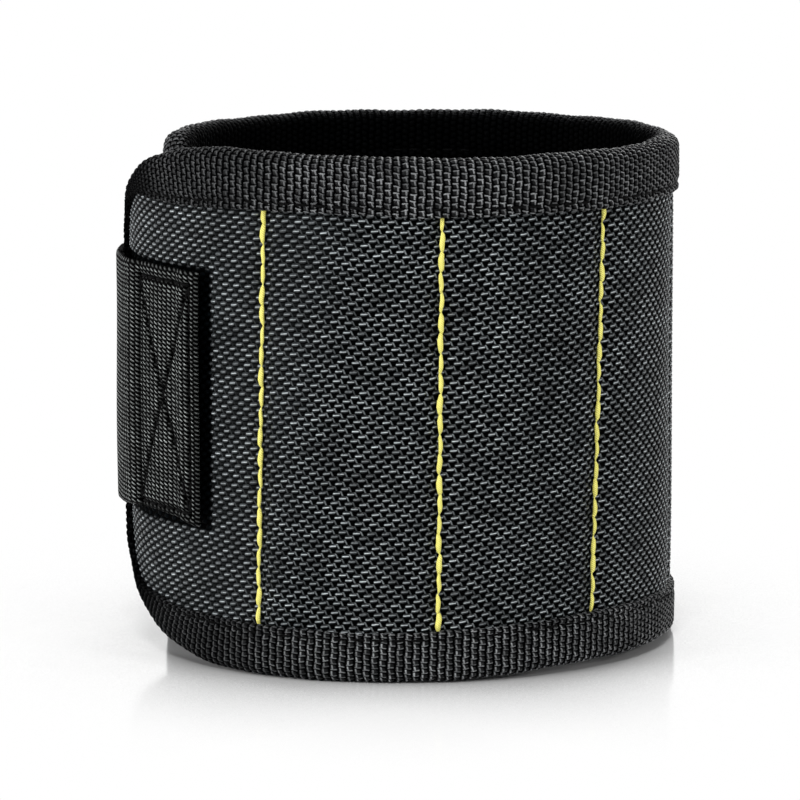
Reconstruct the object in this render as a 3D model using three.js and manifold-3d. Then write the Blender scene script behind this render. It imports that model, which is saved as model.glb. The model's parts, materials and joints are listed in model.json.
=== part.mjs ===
// Magnetic wristband, closed as it is worn: a padded cloth band rolled into a ring that stands
// on its edge, with disc magnets in sewn pockets and a hook-and-loop closing strap.
// Millimetres and degrees, +Z up. Turn angles start at the front (-Y) and grow towards +X.
import * as THREE from 'three';
import { mergeVertices } from 'three/addons/utils/BufferGeometryUtils.js';
import Module from 'manifold-3d';

// Clearances
const fitGap = 0.3; // between layers that lie on each other
const seamGap = 0.4; // between neighbouring stretches of the band at a bend line
const layerPlay = 1.2; // air between the tongue and the end tucked in under it

// Layers of the band
const clothRadius = 48; // outer face of the cloth at the front
const clothThickness = 0.9;
const liningThickness = 1.6;

// Binding tape folded over the edges
const tapeThickness = 0.8;
const bindingWidth = 10; // leg on the outside
const bindingBackWidth = 9; // leg on the lining side
const bindingRound = 0.8;

// Magnets in their moulded carrier strips
const magnetCount = 3;
const magnetDiameter = 18;
const magnetThickness = 1.5;
const magnetSpacing = 2; // between neighbouring magnets of a strip
const carrierRim = 1.2;
const carrierFloor = 0.6;
const carrierCorner = 4;

// Pockets between the sewn seams
const pocketCount = 4;
const pocketMargin = 4.85; // from the carrier's side to the seam
const pocketEndMargin = 4.5; // from the carrier's end to the binding
const firstSeamTurn = -29.5;

// Tongue, the rounded outer end of the band
const tongueStraight = 12;
const tongueCorner = 42; // length of the rounded corners along the band
const tongueLift = 2; // the tongue lies this much high where it closes

// Wrapped end, tucked in under the tongue
const wrapCount = 3;
const wrapOverlap = 16; // reach under the tongue past its tip
const wrapCorner = 18;

// Closing strap with its hook pads, and the loop pads that it grips
const strapWidth = 45;
const strapThickness = 1.5;
const strapRoot = 40; // stretch sewn to the tongue
const strapReach = 70; // stretch past the tongue's tip
const strapStep = 4; // rise from the cloth on to the tongue's end binding
const strapDrop = 15; // fall from the tongue to the wrapped end
const strapTipRound = 8;
const hookThickness = 1;
const hookMargin = 2.5;
const loopThickness = 1;
const loopMargin = 4; // loop pad past the strap's edges
const loopReach = 22; // loop pad on the wrapped end's last stretch

// Seam stitches
const threadDiameter = 0.9;
const threadPinch = 0.45; // share of the thickness left between two stitches
const stitchPitch = 4.4;

// Facet counts
const pocketSteps = 9; // odd, so that a flat facet lies over the magnets
const wrapSteps = 9;
const edgeStep = 5; // facet length along the straight edge of an end
const cornerSteps = 10;
const strapSteps = 12;
const bindingSteps = 1;
const plateSteps = 2;
const discSides = 24;
const threadSides = 5;
const stitchSteps = 3;

// Sizes that follow from the ones above
const carrierWidth = magnetDiameter + 2 * (fitGap + carrierRim);
const magnetPitch = magnetDiameter + magnetSpacing;
const carrierLength = carrierWidth + (magnetCount - 1) * magnetPitch;
const carrierThickness = carrierFloor + fitGap + magnetThickness;
const bandHeight = carrierLength + 2 * (bindingWidth + pocketEndMargin);
const middle = bandHeight / 2;
const pocketPitch = carrierWidth + 2 * pocketMargin;
const tongueLength = tongueStraight + tongueCorner;

const liningInset = clothThickness + fitGap; // insets are measured inwards from the cloth's face
const backInset = liningInset + liningThickness + fitGap;
const edgeInset = backInset + tapeThickness;
const tapeProud = tapeThickness + fitGap;
const padProud = loopThickness + fitGap;
const edgeClear = tapeThickness + fitGap; // from the band's outline to the layers inside the binding

const tuckShift = (edgeInset + Math.max(tapeProud, padProud) + layerPlay) / 2;
const wrapRadius = clothRadius - tuckShift; // the wrapped half is rounder, so its end passes inside

const turnOf = (length, radius) => THREE.MathUtils.radToDeg(length / radius);
const pocketTurn = turnOf(pocketPitch, clothRadius);
const tipTurn = firstSeamTurn - turnOf(tongueLength, clothRadius);
const lastSeamTurn = firstSeamTurn + pocketCount * pocketTurn;
const wrapEndTurn = tipTurn + 360 + turnOf(wrapOverlap, wrapRadius);
const wrapTurn = (wrapEndTurn - lastSeamTurn) / wrapCount;
const wrapRun = THREE.MathUtils.degToRad(wrapTurn) * wrapRadius;

const { lerp, smoothstep, clamp } = THREE.MathUtils;
const wasm = await Module();
wasm.setup();

function finish(color, roughness, metalness = 0) {
  return new THREE.MeshStandardMaterial({ color, roughness, metalness });
}

const finishes = {
  cloth: () => finish(0x24292b, 0.85),
  binding: () => finish(0x1b1d1f, 0.9),
  lining: () => finish(0x121314, 0.95),
  webbing: () => finish(0x202426, 0.85),
  hook: () => finish(0x17191a, 0.8),
  loop: () => finish(0x1c1e20, 1),
  thread: () => finish(0xf0eb6e, 0.6),
  magnet: () => finish(0xc4c8cc, 0.25, 1),
  carrier: () => finish(0xb9bdb8, 0.5),
};

const wristband = new THREE.Group();

function closedBody(geometry) {
  geometry.deleteAttribute('uv');
  geometry.deleteAttribute('normal');
  return mergeVertices(geometry, 1e-4);
}

function addPiece(name, geometry, material, parent = wristband) {
  const body = closedBody(geometry);
  body.computeVertexNormals();
  const mesh = new THREE.Mesh(body, material);
  mesh.name = name;
  parent.add(mesh);
  return mesh;
}

// Distance of the cloth's outer face from the ring's axis: a circle at the front, and past the
// right-hand side a smaller circle, tangent to it, that brings the wrapped end inside the tongue.
function bandRadius(turn) {
  if (turn <= 90) {
    return clothRadius;
  }
  const along = tuckShift * Math.sin(THREE.MathUtils.degToRad(turn));
  return along + Math.sqrt(along ** 2 + wrapRadius ** 2 - tuckShift ** 2);
}

function atTurn(turn, radius, height) {
  const angle = THREE.MathUtils.degToRad(turn);
  return new THREE.Vector3(radius * Math.sin(angle), -radius * Math.cos(angle), height);
}

function onBand(turn, inset, height) {
  return atTurn(turn, bandRadius(turn) - inset, height);
}

// A section of (inset, width) points carried along the band: place() puts each point of each
// station, counted from 0 to steps, into the ring.
function sweep(section, steps, place) {
  const geometry = new THREE.ExtrudeGeometry(section, { depth: steps, steps, bevelEnabled: false });
  const points = geometry.getAttribute('position');
  for (let i = 0; i < points.count; i += 1) {
    const station = Math.round(points.getZ(i));
    const point = place(station, points.getX(i), points.getY(i));
    points.setXYZ(i, point.x, point.y, point.z);
  }
  return geometry;
}

function outline(points) {
  return new THREE.Shape(points.map(([x, y]) => new THREE.Vector2(x, y)));
}

function layerSection(inset, thickness, low, high) {
  return outline([
    [inset, low],
    [inset + thickness, low],
    [inset + thickness, high],
    [inset, high],
  ]);
}

// Folded tape seen end on, as (inset, distance from the band's edge).
function tapeSection() {
  const front = -tapeProud;
  const shape = new THREE.Shape();
  shape.moveTo(front, bindingWidth);
  shape.lineTo(front, bindingRound);
  shape.absarc(front + bindingRound, bindingRound, bindingRound, Math.PI, 1.5 * Math.PI, false);
  shape.lineTo(edgeInset - bindingRound, 0);
  shape.absarc(edgeInset - bindingRound, bindingRound, bindingRound, 1.5 * Math.PI, 2 * Math.PI, false);
  shape.lineTo(edgeInset, bindingBackWidth);
  shape.lineTo(backInset, bindingBackWidth);
  shape.lineTo(backInset, tapeThickness);
  shape.lineTo(-fitGap, tapeThickness);
  shape.lineTo(-fitGap, bindingWidth);
  shape.closePath();
  return outline(shape.getPoints(bindingSteps).map((point) => [point.x, point.y]));
}

function arcLayer(section, fromTurn, toTurn, steps) {
  return sweep(section, steps, (station, inset, height) =>
    onBand(lerp(fromTurn, toTurn, station / steps), inset, height));
}

function addEdgeBindings(name, fromTurn, toTurn, steps) {
  const bottom = sweep(tapeSection(), steps, (station, inset, depth) =>
    onBand(lerp(fromTurn, toTurn, station / steps), inset, depth));
  const top = sweep(tapeSection(), steps, (station, inset, depth) =>
    onBand(lerp(toTurn, fromTurn, station / steps), inset, bandHeight - depth));
  addPiece(`${name}_bottom_binding`, bottom, finishes.binding());
  addPiece(`${name}_top_binding`, top, finishes.binding());
}

// Magnet pockets

function roundedPlate(width, length, corner) {
  const x = width / 2 - corner;
  const y = length / 2 - corner;
  const shape = new THREE.Shape();
  shape.absarc(x, y, corner, 0, Math.PI / 2, false);
  shape.absarc(-x, y, corner, Math.PI / 2, Math.PI, false);
  shape.absarc(-x, -y, corner, Math.PI, 1.5 * Math.PI, false);
  shape.absarc(x, -y, corner, 1.5 * Math.PI, 2 * Math.PI, false);
  return outline(shape.getPoints(plateSteps).map((point) => [point.x, point.y]));
}

function toSolid(geometry) {
  const body = closedBody(geometry);
  const vertProperties = new Float32Array(body.getAttribute('position').array);
  const triVerts = new Uint32Array(body.index.array);
  return new wasm.Manifold(new wasm.Mesh({ numProp: 3, vertProperties, triVerts }));
}

function toGeometry(solid) {
  const mesh = solid.getMesh();
  const geometry = new THREE.BufferGeometry();
  geometry.setAttribute('position', new THREE.BufferAttribute(new Float32Array(mesh.vertProperties), 3));
  geometry.setIndex(new THREE.BufferAttribute(new Uint32Array(mesh.triVerts), 1));
  return geometry;
}

const magnetHeights = Array.from({ length: magnetCount }, (_, row) =>
  (row - (magnetCount - 1) / 2) * magnetPitch);

// Strip with a round seat for each magnet. Its back lies at y = 0, its open side looks along -Y.
function carrierGeometry() {
  const plate = new THREE.ExtrudeGeometry(roundedPlate(carrierWidth, carrierLength, carrierCorner), {
    depth: carrierThickness,
    bevelEnabled: false,
  });
  plate.rotateX(Math.PI / 2);
  let carrier = toSolid(plate);
  const seatDepth = 2 * (carrierThickness - carrierFloor);
  for (const height of magnetHeights) {
    const seat = new THREE.CylinderGeometry(
      magnetDiameter / 2 + fitGap, magnetDiameter / 2 + fitGap, seatDepth, discSides);
    seat.translate(0, -carrierFloor - seatDepth / 2, height);
    carrier = carrier.subtract(toSolid(seat));
  }
  return toGeometry(carrier);
}

function addPocket(number) {
  const name = `pocket_${number}`;
  const seamTurn = firstSeamTurn + (number - 1) * pocketTurn;
  const centreTurn = seamTurn + pocketTurn / 2;
  const halfTurn = pocketTurn / 2 - turnOf(seamGap / 2, clothRadius);
  const fromTurn = centreTurn - halfTurn;
  const toTurn = centreTurn + halfTurn;

  // The flat carrier sits as far out as its side edges let it.
  const sideTurn = turnOf(carrierWidth / 2, clothRadius);
  const nearRadius = Math.min(bandRadius(centreTurn - sideTurn), bandRadius(centreTurn + sideTurn));
  const faceDistance = Math.sqrt((nearRadius - liningInset) ** 2 - (carrierWidth / 2) ** 2) - fitGap / 2;
  const backDistance = faceDistance - carrierThickness;
  const swell = bandRadius(centreTurn) - liningInset - (backDistance - fitGap);

  const cloth = layerSection(0, clothThickness, edgeClear, bandHeight - edgeClear);
  addPiece(`${name}_cloth`, arcLayer(cloth, fromTurn, toTurn, pocketSteps), finishes.cloth());

  // The lining is drawn to the cloth at the seams and bindings, and swells over the carrier.
  const swellStart = bindingBackWidth + fitGap;
  const swellEnd = bindingWidth + pocketEndMargin - fitGap;
  const levels = [edgeClear, swellStart, swellEnd];
  const heights = [...levels, ...levels.map((level) => bandHeight - level).reverse()];
  const liningSection = outline([
    ...heights.map((height) => [liningInset + liningThickness, height]),
    ...[...heights].reverse().map((height) => [liningInset, height]),
  ]);
  const lining = sweep(liningSection, pocketSteps, (station, inset, height) => {
    const fromSeam = clamp(Math.min(station, pocketSteps - station), 0, 1);
    const fromEdge = Math.min(height, bandHeight - height);
    const fromBinding = clamp((fromEdge - swellStart) / (swellEnd - swellStart), 0, 1);
    const turn = lerp(fromTurn, toTurn, station / pocketSteps);
    return onBand(turn, inset + swell * fromSeam * fromBinding, height);
  });
  addPiece(`${name}_lining`, lining, finishes.lining());
  addEdgeBindings(name, fromTurn, toTurn, pocketSteps);

  const core = new THREE.Group();
  core.rotation.z = THREE.MathUtils.degToRad(centreTurn);
  core.position.z = middle;
  wristband.add(core);
  const carrier = addPiece(`${name}_magnet_carrier`, carrierGeometry(), finishes.carrier(), core);
  carrier.position.y = -backDistance;
  magnetHeights.forEach((height, row) => {
    const radius = magnetDiameter / 2;
    const disc = new THREE.CylinderGeometry(radius, radius, magnetThickness, discSides);
    const magnet = addPiece(`${name}_magnet_${row + 1}`, disc, finishes.magnet(), core);
    magnet.position.set(0, -backDistance - carrierFloor - fitGap - magnetThickness / 2, height);
  });
}

// Running stitches along a seam, one thread that is pinched where it dives into the cloth.
function addSeamThread(number) {
  const turn = firstSeamTurn + (number - 1) * pocketTurn;
  const low = bindingWidth + fitGap;
  const high = bandHeight - low;
  const steps = stitchSteps * Math.round((high - low) / stitchPitch);
  const radius = bandRadius(turn) + fitGap + threadDiameter / 2;
  const centre = onBand(turn, 0, 0).setLength(radius);
  const along = atTurn(turn + 90, 1, 0);
  const inwards = atTurn(turn + 180, 1, 0);
  const corners = Array.from({ length: threadSides }, (_, side) => {
    const angle = (2 * Math.PI * side) / threadSides;
    return [Math.cos(angle), Math.sin(angle)];
  });
  const thread = sweep(outline(corners), steps, (station, x, y) => {
    const share = station % stitchSteps === 0 ? threadPinch : 1;
    const size = (share * threadDiameter) / 2;
    const point = centre.clone().addScaledVector(along, size * x).addScaledVector(inwards, size * y);
    return point.setZ(lerp(low, high, station / steps));
  });
  addPiece(`seam_${number}_thread`, thread, finishes.thread());
}

// Rounded ends of the band

// Half of an end's outline: along the edge, then round an elliptical corner to the tip.
// out is the outline's outward normal as (along the band, away from the middle).
function endOutline(straight, corner, endHalf) {
  const rise = middle - endHalf;
  const straightSteps = Math.ceil(straight / edgeStep);
  const stations = [];
  for (let i = 0; i < straightSteps; i += 1) {
    const run = lerp(seamGap / 2, straight, i / straightSteps);
    stations.push({ run, half: middle, out: new THREE.Vector2(0, 1) });
  }
  for (let i = 0; i <= cornerSteps; i += 1) {
    const angle = (i / cornerSteps) * (Math.PI / 2);
    stations.push({
      run: straight + corner * Math.sin(angle),
      half: endHalf + rise * Math.cos(angle),
      out: new THREE.Vector2(Math.sin(angle) / corner, Math.cos(angle) / rise).normalize(),
    });
  }
  return stations;
}

// way is +1 for an end that runs on towards growing turns and -1 for one that runs the other way.
function addBandEnd(name, { seamTurn, way, radius, half, lift }) {
  const spot = (run, inset, across) => {
    const turn = seamTurn + way * turnOf(run, radius);
    return onBand(turn, inset, middle + across + lift(turn));
  };
  const ordered = way > 0 ? half : [...half].reverse();
  const layer = (inset, thickness) =>
    sweep(layerSection(inset, thickness, -1, 1), half.length - 1, (station, depth, share) => {
      const { run, half: reach, out } = ordered[station];
      return spot(run - edgeClear * out.x, depth, share * (reach - edgeClear * out.y));
    });
  addPiece(`${name}_cloth`, layer(0, clothThickness), finishes.cloth());
  addPiece(`${name}_lining`, layer(liningInset, liningThickness), finishes.lining());

  const there = half.map((at) => ({ ...at, side: -way }));
  const back = half.map((at) => ({ ...at, side: way })).reverse();
  const edge = [...there, ...back];
  const binding = sweep(tapeSection(), edge.length - 1, (station, inset, depth) => {
    const { run, half: reach, out, side } = edge[station];
    return spot(run - depth * out.x, inset, side * (reach - depth * out.y));
  });
  addPiece(`${name}_binding`, binding, finishes.binding());
}

const tongueLiftAt = (turn) => tongueLift * smoothstep(-turn, -firstSeamTurn, -tipTurn);

function addTongue() {
  addBandEnd('tongue', {
    seamTurn: firstSeamTurn,
    way: -1,
    radius: clothRadius,
    half: endOutline(tongueStraight, tongueCorner, strapWidth / 2),
    lift: tongueLiftAt,
  });
}

function addWrappedEnd() {
  const gapTurn = turnOf(seamGap / 2, wrapRadius);
  for (let number = 1; number < wrapCount; number += 1) {
    const fromTurn = lastSeamTurn + (number - 1) * wrapTurn + gapTurn;
    const toTurn = lastSeamTurn + number * wrapTurn - gapTurn;
    const layer = (inset, thickness) => {
      const section = layerSection(inset, thickness, edgeClear, bandHeight - edgeClear);
      return arcLayer(section, fromTurn, toTurn, wrapSteps);
    };
    addPiece(`wrap_${number}_cloth`, layer(0, clothThickness), finishes.cloth());
    addPiece(`wrap_${number}_lining`, layer(liningInset, liningThickness), finishes.lining());
    addEdgeBindings(`wrap_${number}`, fromTurn, toTurn, wrapSteps);
  }
  addBandEnd('wrap_end', {
    seamTurn: wrapEndTurn - wrapTurn,
    way: 1,
    radius: wrapRadius,
    half: endOutline(wrapRun - wrapCorner, wrapCorner, middle - wrapCorner),
    lift: () => 0,
  });
}

// Closing strap

const strapMiddle = middle + tongueLift;

// Inner face of the strap: on the tongue's cloth, up over its end binding, then down on to the
// loop pads of the wrapped end.
function strapRadius(turn) {
  const fromTip = THREE.MathUtils.degToRad(tipTurn - turn) * clothRadius;
  const onTongue = smoothstep(fromTip, -bindingWidth - strapStep, -bindingWidth) * tapeProud;
  const high = clothRadius + fitGap + onTongue;
  const low = bandRadius(turn + 360) + padProud + hookThickness + 2 * fitGap;
  return lerp(high, low, smoothstep(fromTip, 0, strapDrop));
}

function strapLayer(fromTurn, toTurn, gapBelow, thickness, halfWidth) {
  const section = layerSection(0, thickness, -1, 1);
  return sweep(section, strapSteps, (station, depth, share) => {
    const turn = lerp(fromTurn, toTurn, station / strapSteps);
    const radius = strapRadius(turn) + gapBelow + thickness - depth;
    return atTurn(turn, radius, strapMiddle + share * halfWidth(turn));
  });
}

function addStrap() {
  const gapTurn = turnOf(seamGap / 2, clothRadius);
  const rootTurn = tipTurn + turnOf(strapRoot, clothRadius);
  const dropTurn = tipTurn - turnOf(strapDrop, clothRadius);
  const endTurn = tipTurn - turnOf(strapReach, clothRadius);
  const bendTurn = (tipTurn + endTurn) / 2;
  const evenWidth = () => strapWidth / 2;
  const tipWidth = (turn) => {
    const fromEnd = THREE.MathUtils.degToRad(turn - endTurn) * clothRadius;
    const missing = clamp(1 - fromEnd / strapTipRound, 0, 1);
    return strapWidth / 2 - strapTipRound * (1 - Math.sqrt(1 - missing ** 2));
  };
  const padWidth = () => strapWidth / 2 - hookMargin;
  const marginTurn = turnOf(strapTipRound, clothRadius);

  const addWebbing = (name, fromTurn, toTurn, halfWidth) =>
    addPiece(name, strapLayer(fromTurn, toTurn, 0, strapThickness, halfWidth), finishes.webbing());
  addWebbing('strap_root', tipTurn + gapTurn, rootTurn, evenWidth);
  addWebbing('strap_middle', bendTurn + gapTurn, tipTurn - gapTurn, evenWidth);
  addWebbing('strap_tip', endTurn, bendTurn - gapTurn, tipWidth);

  const hookGap = -fitGap - hookThickness;
  const addHook = (name, fromTurn, toTurn) =>
    addPiece(name, strapLayer(fromTurn, toTurn, hookGap, hookThickness, padWidth), finishes.hook());
  addHook('hook_pad_1', bendTurn + gapTurn, dropTurn);
  addHook('hook_pad_2', endTurn + marginTurn, bendTurn - gapTurn);

  const loopHalf = strapWidth / 2 + loopMargin;
  const loop = layerSection(-padProud, loopThickness, strapMiddle - loopHalf, strapMiddle + loopHalf);
  const endSeamTurn = wrapEndTurn - wrapTurn;
  const loopEndTurn = endSeamTurn + turnOf(loopReach, wrapRadius);
  const addLoop = (name, fromTurn, toTurn) =>
    addPiece(name, arcLayer(loop, fromTurn, toTurn, wrapSteps), finishes.loop());
  addLoop('loop_pad_1', endSeamTurn - wrapTurn + gapTurn, endSeamTurn - gapTurn);
  addLoop('loop_pad_2', endSeamTurn + gapTurn, loopEndTurn);
}

for (let number = 1; number <= pocketCount; number += 1) {
  addPocket(number);
}
for (let number = 1; number <= pocketCount + 1; number += 1) {
  addSeamThread(number);
}
addTongue();
addWrappedEnd();
addStrap();

// The part's origin is under the middle of its outline, on the surface that it stands on.
const extent = new THREE.Box3().setFromObject(wristband, true);
const centre = extent.getCenter(new THREE.Vector3());
wristband.position.set(-centre.x, -centre.y, -extent.min.z);
wristband.updateMatrixWorld(true);

export default wristband;
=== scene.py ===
import json
import math

import bpy
import numpy as np
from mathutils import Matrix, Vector


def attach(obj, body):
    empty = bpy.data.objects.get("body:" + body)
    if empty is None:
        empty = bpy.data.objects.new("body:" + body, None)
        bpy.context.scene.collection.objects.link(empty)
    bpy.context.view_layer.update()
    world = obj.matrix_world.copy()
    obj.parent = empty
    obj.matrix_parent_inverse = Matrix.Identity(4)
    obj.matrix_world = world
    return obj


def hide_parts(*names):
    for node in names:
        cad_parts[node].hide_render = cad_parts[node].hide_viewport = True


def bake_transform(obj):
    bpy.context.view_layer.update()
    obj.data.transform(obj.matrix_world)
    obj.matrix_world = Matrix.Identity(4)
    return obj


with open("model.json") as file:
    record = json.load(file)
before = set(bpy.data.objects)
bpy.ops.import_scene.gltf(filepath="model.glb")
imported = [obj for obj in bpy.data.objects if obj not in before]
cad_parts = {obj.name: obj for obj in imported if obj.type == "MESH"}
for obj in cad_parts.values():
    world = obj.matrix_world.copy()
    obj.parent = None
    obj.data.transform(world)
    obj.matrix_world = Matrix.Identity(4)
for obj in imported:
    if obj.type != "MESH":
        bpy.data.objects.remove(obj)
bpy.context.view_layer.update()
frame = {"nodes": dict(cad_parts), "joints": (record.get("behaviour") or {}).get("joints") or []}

scene = bpy.context.scene
mm = 0.001

# The rolled band, in mm and degrees: turns start at the front (-Y) and grow towards +X
ring = {
    "clothRadius": 48.0,  # outer face of the cloth at the front
    "tuckShift": 3.2,  # the wrapped half is this much smaller, so its end passes inside
    "height": 90.0,
    "tongueLength": 54.0,
    "topCorner": (46.0, 31.0),
    "lowCorner": (49.0, 33.0),  # the lower corner is a little rounder
    "tongueLift": 2.0,
    "liftFrom": 34.0,
    "tongueStand": 0.8,  # its end stands off a little
    "standSpan": (40.0, 62.0),
    "frontRise": 1.05,  # the top edge rises a little towards the tongue
    "riseLeast": 0.4,
    "riseSpans": ((-8.0, 27.0), (-110.0, -50.0), (20.0, 80.0)),  # along the front, round the side, upwards
    "footRise": 1.1,  # the lower edge is a little up near the third seam
    "footSpans": ((0.0, 32.0), (52.0, 78.0), (12.0, 45.0)),  # up, down again, and at which heights
    "endOverlap": 16.0,
    "endCorner": (17.0, 18.0),
    "strapRoot": 40.0,
    "strapMore": 0.95,  # degrees of seam allowance past the root's end
    "strapReach": 70.0,
    "strapDrop": 15.0,
    "strapMiddle": 47.0,
    "strapHalf": 22.5,
    "cutBeside": 0.4,  # degrees from the strap's root to the first cut
    "innermost": -8.0,  # just inside the lining's fullest place
}
stretches = ["tongue", "pocket_1", "pocket_2", "pocket_3", "pocket_4", "wrap_1", "wrap_2", "wrap_end"]
bends = ["tongue_bend", "seam_2_bend", "unroll", "seam_4_bend", "wrap_1_bend", "wrap_2_bend", "wrap_end_bend"]


def circleCentre(a, b, c):  # middle of the circle through three points
    sides = np.array([b - a, c - a]) * 2
    return np.linalg.solve(sides, np.array([b @ b - a @ a, c @ c - a @ a]))


hinges = {joint["name"]: np.array(joint["pos_m"][:2]) / mm for joint in frame["joints"]}
ringCentre = circleCentre(*(hinges[name] for name in bends[:3]))
clothRadius = ring["clothRadius"]
wrapRadius = clothRadius - ring["tuckShift"]
wrapCentre = ringCentre + (ring["tuckShift"], 0)
quarterRun = clothRadius * math.pi / 2
middle = ring["height"] / 2


def turnOf(point):
    x, y = point - ringCentre
    return math.degrees(math.atan2(x, -y))


bendTurns = [turnOf(hinges[name]) for name in bends]
bendTurns = [turn + 360 if i > 3 and turn < 0 else turn for i, turn in enumerate(bendTurns)]
tipTurn = bendTurns[0] - math.degrees(ring["tongueLength"] / clothRadius)
endTurn = tipTurn + 360 + math.degrees(ring["endOverlap"] / wrapRadius)
rootTurn = tipTurn + math.degrees(ring["strapRoot"] / clothRadius)


def bandRadius(turn):  # cloth's outer face from the ring's centre
    along = ring["tuckShift"] * np.sin(np.radians(turn))
    wrapped = along + np.sqrt(along**2 + wrapRadius**2 - ring["tuckShift"] ** 2)
    return np.where(np.asarray(turn) > 90, wrapped, clothRadius)


def runOf(turn):  # mm along the cloth's outer face from the front
    if turn <= 90:
        return math.radians(turn) * clothRadius
    angle = math.radians(turn)
    point = ringCentre + float(bandRadius(turn)) * np.array([math.sin(angle), -math.cos(angle)])
    x, y = point - wrapCentre
    around = math.atan2(x, -y) % (2 * math.pi)
    return quarterRun + (around - math.pi / 2) * wrapRadius


# Curves that the shapes share
def smooth(value, low, high):
    share = np.clip((value - low) / (high - low), 0, 1)
    return share * share * (3 - 2 * share)


def bell(value, width):
    return np.exp(-((value / width) ** 2))


def dome(value):  # half-round, 1 in the middle and 0 from 1 on
    return np.sqrt(np.maximum(0, 1 - value**2))


def ripples(a, b, waves):  # each wave is (size, beats along a, beats along b, start)
    return sum(size * np.sin(p * a + q * b + start) for size, p, q, start in waves)


def lookUp(value, table):  # table of (place, value)
    return np.interp(value, *np.transpose(table))


seamRuns = [runOf(turn) for turn in bendTurns[:5]]
tipRun = runOf(tipTurn)
endRun = runOf(endTurn)


def standOff(run):
    return ring["tongueStand"] * smooth(-run, *ring["standSpan"])


def ringPlace(run, out, height):  # along the band, outwards from the cloth's face and up, to the row frame
    run = np.asarray(run, float)
    wrapped = run > quarterRun
    angle = np.where(wrapped, math.pi / 2 + (run - quarterRun) / wrapRadius, run / clothRadius)
    radius = np.where(wrapped, wrapRadius, clothRadius) + out + standOff(run)
    alongFront, roundSide, upwards = ring["riseSpans"]
    rise = ring["riseLeast"] + (1 - ring["riseLeast"]) * smooth(-run, *alongFront)
    rise = ring["frontRise"] * rise * smooth(-run, *roundSide)
    goesUp, comesDown, heights = ring["footSpans"]
    foot = ring["footRise"] * smooth(run, *goesUp) * (1 - smooth(run, *comesDown))
    lift = ring["tongueLift"] * smooth(-run, ring["liftFrom"], -tipRun)
    lift = lift + rise * smooth(height, *upwards) + foot * (1 - smooth(height, *heights))
    x = ringCentre[0] + np.where(wrapped, ring["tuckShift"], 0) + radius * np.sin(angle)
    y = ringCentre[1] - radius * np.cos(angle)
    return np.column_stack((x, y, height + lift)) * mm


# Nine sections of the band: each of the middle seven spans one hinge
pocketMids = [(bendTurns[i] + bendTurns[i + 1]) / 2 for i in range(4)]
wrapMids = [(a + b) / 2 for a, b in zip(bendTurns[4:], bendTurns[5:] + [endTurn])]
cuts = [tipRun] + [runOf(turn) for turn in [rootTurn + ring["cutBeside"]] + pocketMids + wrapMids] + [endRun]
sections = [["tongue"]] + [stretches[k - 1 : k + 1] for k in range(1, 8)] + [["wrap_end"]]


def follow(piece, k):  # the two end sections ride on their bodies; the ones in between stay where they are
    if k in (0, 8):
        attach(piece, *sections[k])
        return
    start, end = ringPlace(np.array(cuts[k : k + 2]), ring["innermost"], np.full(2, middle))
    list(sections[k])
    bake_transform(piece)


print("ring: centre", ringCentre.round(2), "seams at", np.round(bendTurns[:5], 2), "tip at", round(tipTurn, 2))


# Camera at the photo's angle
view = {"distance": 0.868, "side": -0.0003, "height": 0.1792, "tilt": 9.0, "pan": -0.0458, "lens": 219.7}
cameraData = bpy.data.cameras.new("photoCamera")
cameraData.lens = view["lens"]
cameraData.clip_end = 20
camera = bpy.data.objects.new("photoCamera", cameraData)
camera.location = (view["side"], -view["distance"], view["height"])
camera.rotation_euler = (math.radians(90 - view["tilt"]), 0, math.radians(view["pan"]))
scene.collection.objects.link(camera)
scene.camera = camera
scene.view_settings.view_transform = "Standard"


# Node helpers
def newMaterial(name):
    made = bpy.data.materials.new(name)
    made.use_nodes = True
    return made, made.node_tree, made.node_tree.nodes["Principled BSDF"]


def setUp(node, settings):  # sockets among the settings are linked
    for key, value in settings.items():
        if key not in node.inputs:
            setattr(node, key, value)
        elif isinstance(value, bpy.types.NodeSocket):
            node.id_data.links.new(value, node.inputs[key])
        else:
            node.inputs[key].default_value = value
    return node


def addNode(tree, kind, **settings):
    return setUp(tree.nodes.new(kind), settings)


def addRamp(tree, fac, stops):  # stops are (place, colour or grey)
    made = addNode(tree, "ShaderNodeValToRGB", Fac=fac)
    points = made.color_ramp.elements
    while len(points) < len(stops):
        points.new(0.5)
    for point, (place, colour) in zip(points, stops):
        point.position = place
        point.color = (*colour, 1) if hasattr(colour, "__len__") else (colour, colour, colour, 1)
    return made.outputs["Color"]


def addFade(tree, value, low, high, start=0.0, end=1.0):  # smooth step from start to end
    made = addNode(tree, "ShaderNodeMapRange", interpolation_type="SMOOTHSTEP", Value=value)
    for place, number in zip(made.inputs[1:5], (low, high, start, end)):
        place.default_value = number
    return made.outputs["Result"]


def addClamp(tree, value):
    return addNode(tree, "ShaderNodeClamp", Value=value).outputs["Result"]


def addBump(tree, height, strength, depth):  # depth in mm
    return addNode(tree, "ShaderNodeBump", Strength=strength, Distance=depth * mm, Height=height).outputs["Normal"]


def attributePlace(tree, name):
    return addNode(tree, "ShaderNodeAttribute", attribute_name=name).outputs["Vector"]


def calculator(tree):  # each call makes one Math node; values are sockets or numbers
    def calc(operation, *values):
        made = addNode(tree, "ShaderNodeMath", operation=operation)
        for place, value in zip(made.inputs, values):
            if isinstance(value, (int, float)):
                place.default_value = value
            else:
                tree.links.new(value, place)
        return made.outputs[0]

    return calc


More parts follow.
